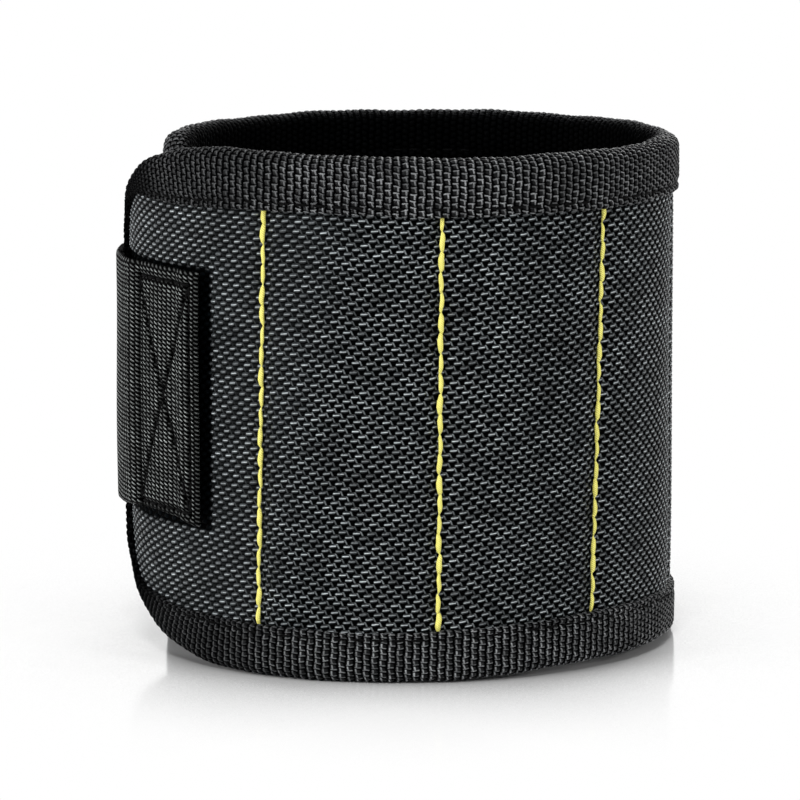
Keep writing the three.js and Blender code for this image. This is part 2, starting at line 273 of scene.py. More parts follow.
# Floor, backdrop and light
studio = {
    "floor": 0.85,
    "floorSize": 30,
    "mirror": 0.55,  # share of the floor's gloss
    "gloss": 0.12,
    "shelter": 0.12,  # reach in metres of what counts as close to the floor
    "openFade": (0.56, 0.85),  # the floor turns white as it gets more open, so its shadow stays beside the band
    "backdrop": 0.9,
    "backdropSize": 12,
    "backdropAt": 2.2,
    "worldGrey": 0.2,
    "aim": (0, 0, 0.045),
    "lamps": (  # name, place, size, watts
        ("leftLamp", (-0.95, -0.5, 0.35), 0.5, 8.5),
        ("keyLamp", (-0.1, -0.75, 1.0), 0.25, 6),
        ("rightLamp", (0.85, -0.55, 0.5), 0.25, 4.5),
        ("topLamp", (0.0, 0.15, 1.2), 0.8, 2.5),
        ("backLamp", (0.35, 1.0, 0.7), 0.5, 4),
    ),
}


def whitePaint(name):  # a bare material with white laid over its surface
    paint, tree, shader = newMaterial(name)
    tree.nodes.remove(shader)
    glow = addNode(tree, "ShaderNodeEmission", Strength=1.0)
    cover = addNode(tree, "ShaderNodeMixShader")
    tree.links.new(glow.outputs["Emission"], cover.inputs[2])
    tree.links.new(cover.outputs["Shader"], tree.nodes["Material Output"].inputs["Surface"])
    return paint, tree, cover


def seenDirectly(tree):  # 1 for the eye, also in a reflection or through glass
    calc = calculator(tree)
    lightPath = addNode(tree, "ShaderNodeLightPath")
    eye, reflected, through = (lightPath.outputs[f"Is {ray} Ray"] for ray in ("Camera", "Glossy", "Transmission"))
    return calc("MAXIMUM", calc("MAXIMUM", eye, reflected), through)


def mattShader(tree, grey):
    return addNode(tree, "ShaderNodeBsdfDiffuse", Color=(grey, grey, grey, 1)).outputs["BSDF"]


def deselect():
    bpy.ops.object.select_all(action="DESELECT")


def stagePlane(name, paint, **where):
    deselect()
    bpy.ops.mesh.primitive_plane_add(**where)
    made = bpy.context.object
    made.name = name
    made.data.materials.append(paint)
    return made


floorPaint, tree, cover = whitePaint("floorWhite")
mirror = addNode(tree, "ShaderNodeBsdfGlossy", Color=(1, 1, 1, 1), Roughness=studio["gloss"])
glazed = addNode(tree, "ShaderNodeMixShader", Fac=studio["mirror"])
tree.links.new(mattShader(tree, studio["floor"]), glazed.inputs[1])
tree.links.new(mirror.outputs["BSDF"], glazed.inputs[2])
tree.links.new(glazed.outputs["Shader"], cover.inputs[1])
openness = addNode(tree, "ShaderNodeAmbientOcclusion", samples=8, Distance=studio["shelter"])
whiter = addFade(tree, openness.outputs["AO"], *studio["openFade"])
tree.links.new(calculator(tree)("MULTIPLY", whiter, seenDirectly(tree)), cover.inputs["Fac"])

backdropPaint, tree, cover = whitePaint("backdropWhite")
tree.links.new(mattShader(tree, studio["backdrop"]), cover.inputs[1])
tree.links.new(seenDirectly(tree), cover.inputs["Fac"])

floor = stagePlane("floor", floorPaint, size=studio["floorSize"])
upright = {"location": (0, studio["backdropAt"], 0), "rotation": (math.pi / 2, 0, 0)}
backdrop = stagePlane("backdrop", backdropPaint, size=studio["backdropSize"], **upright)

world = bpy.data.worlds.new("studioWorld")
scene.world = world
world.use_nodes = True
world.node_tree.nodes["Background"].inputs["Color"].default_value = (*[studio["worldGrey"]] * 3, 1)
for name, place, size, watts in studio["lamps"]:
    lampData = bpy.data.lights.new(name, "AREA")
    lampData.size = size
    lampData.energy = watts
    lamp = bpy.data.objects.new(name, lampData)
    lamp.location = place
    lamp.rotation_euler = (Vector(studio["aim"]) - Vector(place)).to_track_quat("-Z", "Y").to_euler()
    scene.collection.objects.link(lamp)
print("camera, floor and lamps are up")


# Flat modelling: X runs along the band, Y up and Z outwards, all in mm until a piece is rolled up
uvEdge = 0.004


def setMode(mode):
    bpy.ops.object.mode_set(mode=mode)


def applyPlace():
    bpy.ops.object.transform_apply(location=True, rotation=True, scale=True)


def pick(*pieces):  # selected alone, the first one active
    deselect()
    for piece in pieces:
        piece.select_set(True)
    bpy.context.view_layer.objects.active = pieces[0]


def joinPieces(name, pieces):
    pick(*pieces)
    bpy.ops.object.join()
    pieces[0].name = pieces[0].data.name = name
    return pieces[0]


def repeatPiece(piece, count, offset):
    row = piece.modifiers.new("row", "ARRAY")
    row.use_relative_offset = False
    row.use_constant_offset = True
    row.constant_offset_displace = offset
    row.count = count
    bpy.ops.object.modifier_apply(modifier=row.name)


def flatGrid(name, along, across, stepAlong, stepAcross, keep=None):
    length, width = along[1] - along[0], across[1] - across[0]
    deselect()
    bpy.ops.mesh.primitive_grid_add(
        x_subdivisions=max(2, round(length / stepAlong)), y_subdivisions=max(2, round(width / stepAcross)), size=1
    )
    bpy.ops.transform.resize(value=(length, width, 1))
    bpy.ops.transform.translate(value=(sum(along) / 2, sum(across) / 2, 0))
    applyPlace()
    piece = bpy.context.object
    piece.name = piece.data.name = name
    if keep:
        dropFaces(piece, keep)
    flat = pointsOf(piece)
    return piece, flat, flat[:, 0], flat[:, 1]


def pointsOf(piece):
    flat = np.empty(len(piece.data.vertices) * 3)
    piece.data.vertices.foreach_get("co", flat)
    return flat.reshape(-1, 3)


def setPoints(piece, points):
    piece.data.vertices.foreach_set("co", np.ascontiguousarray(points, np.float32).ravel())
    piece.data.update()


def keepPlaces(piece, name, places):
    made = piece.data.attributes.new(name, "FLOAT_VECTOR", "POINT")
    made.data.foreach_set("vector", np.ascontiguousarray(places, np.float32).ravel())


def keepFlat(piece, flat, yarns, tone=1.0):  # yarn counts and the share of painted light and shade, and a map that fills the square
    keepPlaces(piece, "yarnPlace", np.column_stack((*yarns, np.broadcast_to(tone, len(flat)))))
    low, high = flat.min(0)[:2], flat.max(0)[:2]
    corner = np.empty(len(piece.data.loops), np.int32)
    piece.data.loops.foreach_get("vertex_index", corner)
    uv = uvEdge + (1 - 2 * uvEdge) * (flat[:, :2] - low) / (high - low)
    while piece.data.uv_layers:
        piece.data.uv_layers.remove(piece.data.uv_layers[0])
    layer = piece.data.uv_layers.new(name="OFBake")
    layer.data.foreach_set("uv", uv[corner].astype(np.float32).ravel())


def dropFaces(piece, keep):  # keep takes the middles of the faces
    middles = np.empty(len(piece.data.polygons) * 3)
    piece.data.polygons.foreach_get("center", middles)
    setMode("EDIT")
    bpy.ops.mesh.select_mode(type="FACE")
    setMode("OBJECT")
    piece.data.polygons.foreach_set("select", ~keep(middles.reshape(-1, 3)))
    setMode("EDIT")
    bpy.ops.mesh.delete(type="FACE")
    setMode("OBJECT")


def turnFaces():
    setMode("EDIT")
    bpy.ops.mesh.select_all(action="SELECT")
    bpy.ops.mesh.flip_normals()
    setMode("OBJECT")


def dress(piece, material, nodes):
    pick(piece)
    bpy.ops.object.shade_smooth()
    piece.data.materials.clear()
    piece.data.materials.append(material)
    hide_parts(*nodes)


def insideEnds(run, height, margin):  # inside the band's outline with its rounded ends
    up = np.abs(height - middle)
    long, high = (np.where(height < middle, low, top) for low, top in zip(ring["lowCorner"], ring["topCorner"]))
    endLong, endHigh = ring["endCorner"]
    beyond = np.maximum(tipRun + long - run, 0) / (long - margin)
    above = np.maximum(up - (middle - high), 0) / (high - margin)
    past = np.maximum(run - (endRun - endLong), 0) / (endLong - margin)
    endAbove = np.maximum(up - (middle - endHigh), 0) / (endHigh - margin)
    return (beyond**2 + above**2 < 1) & (past**2 + endAbove**2 < 1) & (up < middle - margin)


def bandSection(name, k, edge, steps):  # flat, cut round at the band's two ends
    keep = (lambda at: insideEnds(at[:, 0], at[:, 1], edge)) if k in (0, 8) else None
    return flatGrid(name, cuts[k : k + 2], (edge, ring["height"] - edge), *steps, keep)


# Yarn finishes: a pattern gives the rise of the yarns and the painted highlights on their crests; the gaps between
# them are painted in shade
yarnLook = {
    "highlightFade": 6.0,  # painted highlights on the crests fade this much faster than the painted light
    "fuzz": 0.07,
    "fibre": {"Scale": 1.0, "Detail": 3.0, "Roughness": 0.6},
    "fibreTones": (0.5, 1.4),
    "cloud": {"Scale": 0.11, "Detail": 3.0},
    "cloudTones": (0.7, 1.25),
    "toneStops": (0.3, 0.7),
}


def yarnMaterial(name, pattern, colours, stops, rough, grain, depth, shine):  # colours of the gaps in painted shade, the yarn, and the painted highlights on the crests
    made, tree, shader = newMaterial(name)
    calc = calculator(tree)
    place = attributePlace(tree, "yarnPlace")
    i, j, worn = addNode(tree, "ShaderNodeSeparateXYZ", Vector=place).outputs
    stretched = addNode(tree, "ShaderNodeMapping", Scale=grain, Vector=place).outputs["Vector"]
    fibre = addNode(tree, "ShaderNodeTexNoise", Vector=stretched, **yarnLook["fibre"]).outputs["Fac"]
    cloud = addNode(tree, "ShaderNodeTexNoise", Vector=place, **yarnLook["cloud"]).outputs["Fac"]
    rise, crest = pattern(tree, i, j)
    colour = addRamp(tree, rise, list(zip(stops, colours)))
    # painted highlight on the crests, then the colour darkened where the painted light share is low, which paints
    # shade
    layers = [("MIX", calc("MULTIPLY", crest, calc("POWER", worn, yarnLook["highlightFade"])), (*colours[2], 1))]
    layers.append(("MULTIPLY", 1.0, addRamp(tree, worn, [(0, 0.0), (1, 1.0)])))
    for noise, greys in ((fibre, yarnLook["fibreTones"]), (cloud, yarnLook["cloudTones"])):
        layers.append(("MULTIPLY", 1.0, addRamp(tree, noise, list(zip(yarnLook["toneStops"], greys)))))
    for blend, share, tone in layers:
        kind = {"data_type": "RGBA", "blend_type": blend}
        colour = addNode(tree, "ShaderNodeMix", **kind, Factor=share, A=colour, B=tone).outputs["Result"]
    # the specular tint goes to none in the gaps and in the painted shade, so shade is painted into the gloss too
    gloss = calc("MULTIPLY", rise, worn)
    setUp(shader, {
        "Base Color": colour,
        "Roughness": addRamp(tree, gloss, list(zip(stops, (1.0, rough)))),
        "Specular Tint": addRamp(tree, gloss, list(zip(stops, (0.0, 1.0)))),
        "Normal": addBump(tree, calc("MULTIPLY_ADD", fibre, yarnLook["fuzz"], rise), 1.0, depth),
        "Specular IOR Level": shine,
    })
    return made


def fromMiddle(calc, value):  # -0.5 to 0.5 in each repeat
    return calc("SUBTRACT", calc("FRACT", value), 0.5)


def roundTop(calc, value, width):  # half-round section across a yarn, value from -0.5 to 0.5
    scaled = calc("MULTIPLY", value, width)
    left = calc("MULTIPLY_ADD", calc("MULTIPLY", scaled, -1.0), scaled, 1.0)
    return calc("SQRT", calc("MAXIMUM", left, 0.0))


def uneven(tree, first, second, least):  # a share of its own for each crossing, from least to 1
    crossing = addNode(tree, "ShaderNodeCombineXYZ", X=first, Y=second).outputs["Vector"]
    chance = addNode(tree, "ShaderNodeTexWhiteNoise", noise_dimensions="3D", Vector=crossing)
    return calculator(tree)("MULTIPLY_ADD", chance.outputs["Value"], 1 - least, least)


# Outer cloth: coarse plain weave, sewn down at the seams
cloth = {
    "warpPitch": 1.24,
    "weftPitch": 0.83,
    "skew": -0.2,  # the weft runs a little off square
    "warpWander": ((0.14, 0.05, 0.31, 0.0),),
    "weftWander": ((0.10, 0.23, 0.0, 1.3), (0.05, 0.71, 0.0, 0.0)),
    "steps": (1.24 / 4, 0.83 / 3),
    "edge": 7.5,  # the rest is inside the tape
    "tongueEdge": 2.0,  # the tape is narrow round the tongue
    "sway": 0.14,
    "weftRise": 0.26,
    "warpRise": 0.045,
    "yarnWidth": 2.0,
    "flat": 0.7,  # flatter tops make longer floats
    "askew": 0.10,
    "under": 0.3,  # the weave's foot below the cloth's face
    "crest": 42.0,  # higher makes thinner painted highlight lines on the floats
    "floatReach": (1.8, 0.1),
    "strandAt": 0.3,  # painted highlight strokes on the warp at the right end of each float
    "strandReach": (-4.0, 0.2),
    "strandSlope": 0.45,
    "strandWidth": 4.2,
    "strandCrest": 9.0,
    "tonguewardSpan": (-31.0, -15.0),  # warp counts, from the tongue, over which the painted sheen near the tongue gives way to stronger painted warp strokes
    "strandShare": (-0.28, 0.37),
    # painted sheen over the raised yarns near the tongue
    "tonguewardSheen": 0.075,
    "evenest": 0.25,
    "seamDip": (0.75, 0.75, 0.75, 1.35, 0.75),
    "seamWidth": 1.5,
    "pucker": (0.10, 3.2),
    "pillow": 0.65,
    "pillowEdge": 8.0,
    "pillowRound": (0.8, 0.3),  # along and up: lower is fuller
    "billow": (0.12, 0.11, 0.6, 0.09),
    "strapPress": (0.4, 1.2),  # pressed in along the sewn strap
    "strapAbove": 3,  # and less far above and below it
    "strapShade": (0.45, 0.2, 1.6),  # painted shade on the cloth along the strap's sewn end and edges
    "cut": 88.0,
    "look": {
        # gaps in painted shade, the yarn, and the painted highlight on the floats
        "colours": [(0.0003, 0.0004, 0.0004), (0.0031, 0.0049, 0.0063), (0.53, 0.575, 0.60)],
        "stops": (0.46, 0.74), "rough": 0.3, "grain": (2.2, 6.0, 1.0), "depth": 0.3, "shine": 0.28,
    },
}
seam = {
    "shift": (-1.0, 0.35, 0.8, 2.0, 1.0),  # each sewn line beside its hinge
    "lean": (1.4, 0.55, 2.4, 0.9, 0.9),  # its top stands this far along from its foot
    "tall": 70.0,
    "foot": 8.6,
    "count": 21,
    "pitch": 3.45,
    "size": (3.6, 0.92, 0.72),
    "sink": (-0.12, -0.12, -0.12, -0.75, -0.12),
    "tilt": ((0.05, 2.4, 1, 0),),  # waves from stitch to stitch
    "slack": ((0.18, 1.7, 2, 0),),
    "slip": ((0.2, 3.1, 1, 0),),
    "wander": ((0.09, 1.9, 3, 0),),
    "waver": ((0.07, 2.3, 1, 0),),  # along the thread
}


def clothYarns(run, height):  # warp and weft counts at a place
    shifted = run + cloth["skew"] * height + ripples(run, height, cloth["warpWander"])
    level = height + ripples(run, height, cloth["weftWander"])
    return shifted / cloth["warpPitch"], level / cloth["weftPitch"]


def weave(i, j):  # plain weave, in mm; long floats, each a little askew
    column, row = np.floor(i), np.floor(j)
    weft = np.cos(math.pi * (i - 0.5 + row))
    weft = cloth["sway"] * weft / np.sqrt((weft**2 + cloth["flat"] ** 2) / (1 + cloth["flat"] ** 2))
    warp = -cloth["sway"] * np.cos(math.pi * (j - 0.5 + column))
    askew = cloth["askew"] * np.sin(math.pi / 2 * (np.mod(i + row + 0.5, 2) - 1))
    weft = weft + cloth["weftRise"] * dome((j - row - 0.5 - askew) * cloth["yarnWidth"])
    warp = warp + cloth["warpRise"] * dome((i - column - 0.5) * cloth["yarnWidth"])
    return np.maximum(weft, warp)


def weaveNodes(tree, i, j):  # the same weave for the material, 1 on the floats, with painted highlights on the floats and the warp
    calc = calculator(tree)

    def waveOf(first, second):
        return calc("COSINE", calc("MULTIPLY", calc("SUBTRACT", calc("ADD", first, second), 0.5), math.pi))

    column, row = calc("FLOOR", i), calc("FLOOR", j)
    top = cloth["sway"] + cloth["weftRise"]
    weftWave, warpWave = waveOf(i, row), waveOf(j, column)
    square = calc("MULTIPLY_ADD", weftWave, weftWave, cloth["flat"] ** 2)
    weftWave = calc("DIVIDE", weftWave, calc("SQRT", calc("DIVIDE", square, 1 + cloth["flat"] ** 2)))
    turned = calc("FLOORED_MODULO", calc("ADD", calc("ADD", i, row), 0.5), 2.0)
    turned = calc("MULTIPLY", calc("SUBTRACT", turned, 1.0), math.pi / 2)
    askew = calc("MULTIPLY", calc("SINE", turned), cloth["askew"])
    fromRow = fromMiddle(calc, j)
    section = roundTop(calc, calc("SUBTRACT", fromRow, askew), cloth["yarnWidth"])
    floats = addClamp(tree, calc("MULTIPLY_ADD", weftWave, *cloth["floatReach"]))
    crest = calc("MULTIPLY", calc("POWER", section, cloth["crest"]), floats)
    beside = calc("ADD", i, cloth["strandAt"])
    crossing = addClamp(tree, calc("MULTIPLY_ADD", waveOf(j, calc("FLOOR", beside)), *cloth["strandReach"]))
    slant = calc("ADD", calc("MULTIPLY", fromRow, cloth["strandSlope"]), fromMiddle(calc, beside))
    strand = calc("POWER", roundTop(calc, slant, cloth["strandWidth"]), cloth["strandCrest"])
    tongueward = addFade(tree, i, *cloth["tonguewardSpan"], 1.0, 0.0)  # 1 towards the tongue, where there is painted sheen and the painted strokes are weaker
    strand = calc("MULTIPLY", calc("MULTIPLY", strand, crossing), calc("MULTIPLY_ADD", tongueward, *cloth["strandShare"]))
    oneFloat = calc("FLOOR", calc("MULTIPLY", calc("ADD", i, row), 0.5))
    crest = calc("MULTIPLY", calc("MAXIMUM", crest, strand), uneven(tree, oneFloat, row, cloth["evenest"]))
    weft = calc("MULTIPLY", section, cloth["weftRise"] / top)
    warp = calc("MULTIPLY", roundTop(calc, fromMiddle(calc, i), cloth["yarnWidth"]), cloth["warpRise"] / top)
    weft = calc("MULTIPLY_ADD", weftWave, cloth["sway"] / top, weft)
    warp = calc("MULTIPLY_ADD", warpWave, -cloth["sway"] / top, warp)
    rise = calc("MAXIMUM", weft, warp)
    paintedSheen = calc("MULTIPLY", calc("MULTIPLY", rise, rise), calc("MULTIPLY", tongueward, cloth["tonguewardSheen"]))
    return rise, calc("MAXIMUM", crest, paintedSheen)


def seamLine(number, height):  # where a seam is sewn, along the band
    return seamRuns[number] + seam["shift"][number] + seam["lean"][number] * (height - middle) / seam["tall"]


def clothBase(run, height):  # soft shape under the weave
    base = np.zeros_like(run)
    lines = [seamLine(number, height) for number in range(5)]
    pucker, puckerWidth = cloth["pucker"]
    for line, dip in zip(lines, cloth["seamDip"]):
        base -= dip * bell(run - line, cloth["seamWidth"])
        base += pucker * bell(run - line, puckerWidth) * np.cos(2 * math.pi * height / seam["pitch"])
    fullAlong, fullUp = cloth["pillowRound"]
    tall = np.clip((height - cloth["pillowEdge"]) / (ring["height"] - 2 * cloth["pillowEdge"]), 0, 1)
    for left, right in zip(lines, lines[1:]):
        share = np.clip((run - left) / (right - left), 0, 1)
        base += cloth["pillow"] * np.sin(math.pi * share) ** fullAlong * (4 * tall * (1 - tall)) ** fullUp
    size, along, start, up = cloth["billow"]
    return base + size * np.sin(run * along + start) * np.sin(height * up)


def outsideStrap(run, height):  # distance from the strap's sewn end
    beside = np.maximum(run - runOf(rootTurn + ring["strapMore"]), 0)
    lifted = ringPlace(run, 0, height)[:, 2] / mm
    above = np.maximum(np.abs(lifted - ring["strapMiddle"]) - ring["strapHalf"], 0)
    return np.hypot(beside, cloth["strapAbove"] * above)


clothNylon = yarnMaterial("clothNylon", weaveNodes, **cloth["look"])
for k in range(9):
    edge = cloth["tongueEdge"] if k == 0 else cloth["edge"]
    piece, flat, run, height = bandSection(f"outer_cloth_{k}", k, edge, cloth["steps"])
    yarns = clothYarns(run, height)
    fromStrap = outsideStrap(run, height)
    press, pressWidth = cloth["strapPress"]
    least, *span = cloth["strapShade"]
    base = clothBase(run, height) - press * bell(fromStrap, pressWidth)
    setPoints(piece, ringPlace(run, base + weave(*yarns) - cloth["under"], height))
    # the third value paints shade on the cloth beside the strap
    keepFlat(piece, flat, yarns, least + (1 - least) * smooth(fromStrap, *span))
    dress(piece, clothNylon, [f"{body}_cloth" for body in sections[k]])
    follow(piece, k)
    size = (cuts[k + 1] - cuts[k]) * mm, cloth["cut"] * mm
print("outer cloth is rolled")


# Lining: dark ribbed knit on foam, swelling over the magnet carriers
lining = {
    "face": -2.8,  # its wrist side, from the cloth's face
    "swell": 4.05,
    "rampAlong": 5.0,  # from a seam to the full swell
    "rampAcross": (9.3, 15.0),
    "backRadius": 41.0,  # the carrier's back is flat across this round
    "backShare": 0.75,
    "ribPitch": 1.5,
    "ribRise": 0.22,
    "ribWidth": 1.8,
    "loops": (0.16, 0.84),
    "stitchPitch": 1.1,
    "steps": (0.375, 0.9),
    "edge": 6.5,
    "quilt": 0.35,
    "quiltFrom": 8.0,
    "quiltWaves": (0.6, 0.21, 0.13),
    "knitCrest": 4.0,
    "fill": 0.5,
    "look": {
        # gaps in painted shade, the knit, and painted highlights on its loops
        "colours": [(0.0035, 0.0035, 0.0038), (0.016, 0.016, 0.017), (0.036, 0.036, 0.038)],
        "stops": (0.3, 0.62), "rough": 0.8, "grain": (3.0, 3.0, 1.0), "depth": 0.2, "shine": 0.1,
    },
}


def liningBase(run, height):
    base = np.full_like(run, lining["face"])
    tall = smooth(np.minimum(height, ring["height"] - height), *lining["rampAcross"])
    for left, right in zip(seamRuns, seamRuns[1:]):
        fromSeam = np.minimum(run - left, right - run)
        full = smooth(fromSeam, 0, lining["rampAlong"])
        chord = ((run - (left + right) / 2) / clothRadius) ** 2 / 2 * lining["backRadius"]
        base -= np.where(fromSeam > 0, (lining["swell"] - lining["backShare"] * chord) * full * tall, 0)
    loose = smooth(run - seamRuns[4], 0, lining["quiltFrom"]) + smooth(seamRuns[0] - run, 0, lining["quiltFrom"])
    mean, along, up = lining["quiltWaves"]
    waves = mean + (1 - mean) * np.sin(run * along) * np.sin(height * up)
    return base - lining["quilt"] * loose * tall * waves


def knitNodes(tree, i, j):  # upright ribs of small loops
    calc = calculator(tree)
    beat = calc("COSINE", calc("MULTIPLY", j, 2 * math.pi))
    section = roundTop(calc, fromMiddle(calc, i), lining["ribWidth"])
    rise = calc("MULTIPLY", section, calc("MULTIPLY_ADD", beat, *lining["loops"]))
    return rise, calc("POWER", rise, lining["knitCrest"])


liningKnit = yarnMaterial("liningKnit", knitNodes, **lining["look"])
for k in range(9):
    piece, flat, run, height = bandSection(f"lining_{k}", k, lining["edge"], lining["steps"])
    ribs = run / lining["ribPitch"], height / lining["stitchPitch"]
    rib = dome((ribs[0] % 1 - 0.5) * lining["ribWidth"])
    setPoints(piece, ringPlace(run, liningBase(run, height) - lining["ribRise"] * (rib - 0.5), height))
    keepFlat(piece, flat, ribs)
    turnFaces()
    dress(piece, liningKnit, [f"{body}_lining" for body in sections[k]])
    follow(piece, k)
print("lining is in")


# Binding tape: folded over the edges and round the ends, on one path along the band's outline
tape = {
    "front": 10.0,  # leg on the outside
    "back": 9.0,  # leg on the lining side
    "proud": 1.1,  # its face from the cloth's face
    "inner": 3.9,  # its other face, behind the cloth's face
    "fold": 2.3,  # height of the rounded rim
    "columnPitch": 1.40,
    "knotPitch": 1.15,
    "knotRise": 0.3,
    "knotSquare": 2.4,
    "knotMean": 0.7,
    "knotFade": (0.6, 1.4),  # from the tape's edges
    "loopSquare": 2.8,
    "loopLeg": (0.15, 0.14, 0.46),  # lean, aside and reach of the painted highlight line on a loop's leg
    "loopFoot": (0.34, 0.04, 0.42),  # down, aside and reach
    "lineEnd": 9.0,
    "lineWidth": 5.5,
    "lineCrest": 6.0,
    "evenest": 0.35,
    "drift": ((0.06, 0.0, 0.5, 0.0), (0.06, 0.9, 1.9, 0.0)),
    "slip": ((0.08, 1.3, 0.7, 0.0), (0.06, 2.9, 0.0, 0.0)),
    "waver": ((0.12, 0.19, 0.11, 0.0), (0.07, 0.53, 0.0, 0.0)),
    "sewnIn": (2.6, 2.4),  # rows of sewing, from the tape's outer and inner edge
    "groove": (0.3, 0.55),
    "legTop": (  # outside leg by place
        (-78, 2.7), (-70, 2.8), (-64, 4.0), (-56.5, 7.2), (-48.6, 9.4), (-40, 10.5), (-26, 10.0),
    ),
    "legBottom": (
        (-78, 2.7), (-66, 2.7), (-60, 3.7), (-53.7, 6.1), (-48.6, 7.1), (-41, 8.9), (-35, 9.4), (-26, 8.9),
    ),
    "worn": ((0.24, -62, -50), (0.16, -38, -8), (-0.06, 15, 60)),  # painted light along the outline: darker, with fainter painted highlights, at the tongue's end, and a little darker on the right
    "wornLeast": 0.6,
    # painted shade on the leg inside the band
    "insideShade": 0.45,
    "shownFrom": (-1.5, 2.5),
    "lip": ((0.25, 0.12), (0.0, 0.6), (0.0, 0.7)),  # in from the face and from the leg's edge, as it turns in
    "lipEnds": (-2.8, -0.35),
    "legEnd": 0.2,  # above the rim
    "legSteps": 12,
    "rimSteps": 40,
    "outlineSteps": (60, 700, 120),  # round the wrapped end, along and round the tongue
    "look": {
        # gaps in painted shade, the knots, and the painted highlight lines
        "colours": [(0.0003, 0.0003, 0.0004), (0.0034, 0.0037, 0.0041), (0.27, 0.277, 0.285)],
        "stops": (0.52, 0.88), "rough": 0.32, "grain": (5.0, 5.0, 1.0), "depth": 0.2, "shine": 0.11,
    },
}


def arcPoints(centre, radii, start, end, count):
    angles = np.radians(np.linspace(start, end, count))
    return np.column_stack((centre[0] + radii[0] * np.cos(angles), centre[1] + radii[1] * np.sin(angles)))


def alongLine(points):  # lengths along a line, its points without repeats and the normals on its left
    steps = np.linalg.norm(np.diff(points, axis=0), axis=1)
    points = points[np.concatenate(([True], steps > 1e-6))]
    steps = np.linalg.norm(np.diff(points, axis=0), axis=1)
    lengths = np.concatenate(([0], np.cumsum(steps)))
    ways = np.gradient(points, lengths, axis=0)
    ways /= np.linalg.norm(ways, axis=1)[:, None]
    return lengths, points, np.column_stack((-ways[:, 1], ways[:, 0]))


def between(at, places, values):
    return np.column_stack([np.interp(at, places, values[:, i]) for i in range(values.shape[1])])


def bandOutline():  # from the middle of the wrapped end's tip along the top, round the tongue and back below
    endLong, endHigh = ring["endCorner"]
    endSteps, steps, tongueSteps = tape["outlineSteps"]
    halves = []
    for long, high in (ring["topCorner"], ring["lowCorner"]):
        halves.append(np.vstack((
            np.array([[endRun, middle]]),
            arcPoints((endRun - endLong, ring["height"] - endHigh), (endLong, endHigh), 0, 90, endSteps),
            np.column_stack((np.linspace(endRun - endLong, tipRun + long, steps), np.full(steps, ring["height"]))),
            arcPoints((tipRun + long, ring["height"] - high), (long, high), 90, 180, tongueSteps),
            np.array([[tipRun, middle]]),
        )))
    below = halves[1][::-1] * (1, -1) + (0, ring["height"])
    return alongLine(np.vstack((halves[0], below)))


outlineAt, outline, inwards = bandOutline()
outlineLength = outlineAt[-1]
topHalf = outline[:, 1] >= middle
face, hidden, fold = tape["proud"], -tape["inner"], tape["fold"]
rim = ((face + hidden) / 2, fold), ((face - hidden) / 2, fold)


def flatLeg(side, inside, depth, lipEnd):  # outwards and depth from the edge, from the lip to the rim
    turned = [[side + inside * off, depth - up] for off, up in tape["lip"]]
    straight = np.linspace(turned[-1][1], fold + tape["legEnd"], tape["legSteps"])
    return np.vstack(([[lipEnd, depth]], turned[:-1], np.column_stack((np.full(len(straight), side), straight))))


backLeg = flatLeg(hidden, 1, tape["back"], tape["lipEnds"][0])
frontLeg = flatLeg(face, -1, tape["front"], tape["lipEnds"][1])
overRim = np.vstack((backLeg, arcPoints(*rim, 180, 360, tape["rimSteps"]), frontLeg[::-1]))
sectionAt, tapeSection, sectionIn = alongLine(overRim)  # from the lining side to the outside
tapeWidth = sectionAt[-1]
sewnRows = tapeWidth - tape["sewnIn"][0], tape["sewnIn"][1]


def tapePlace(along, across, out):  # mm along the outline, mm across the tape from its inner edge, mm off its face
    along = np.mod(along, outlineLength)
    edge = between(along, outlineAt, outline)
    inward = between(along, outlineAt, inwards)
    inward /= np.linalg.norm(inward, axis=1)[:, None]
    section = between(across, sectionAt, tapeSection) - between(across, sectionAt, sectionIn) * out[:, None]
    outwards, depth = section.T
    leg = np.where(edge[:, 1] > middle, *(lookUp(edge[:, 0], tape[side]) for side in ("legTop", "legBottom")))
    outside = (outwards > -1) & (depth > fold)
    depth = np.where(outside, fold + (depth - fold) * (leg - fold) / (tape["front"] - fold), depth)
    place = edge + inward * depth[:, None]
    return ringPlace(place[:, 0], outwards, place[:, 1])


def outlineSpot(run, top):  # where the outline passes a place along the band
    chosen = topHalf if top else ~topHalf
    order = np.argsort(outline[chosen, 0])
    return float(np.interp(run, outline[chosen, 0][order], outlineAt[chosen][order]))


def tapeKnots(i, j):  # columns of small rounded squares, each column half a knot off the next
    column = np.floor(i)
    across, along = i - column - 0.5, np.mod(j + 0.5 * np.mod(column, 2), 1) - 0.5
    return (1 - np.abs(2 * across) ** tape["knotSquare"]) * (1 - np.abs(2 * along) ** tape["knotSquare"])


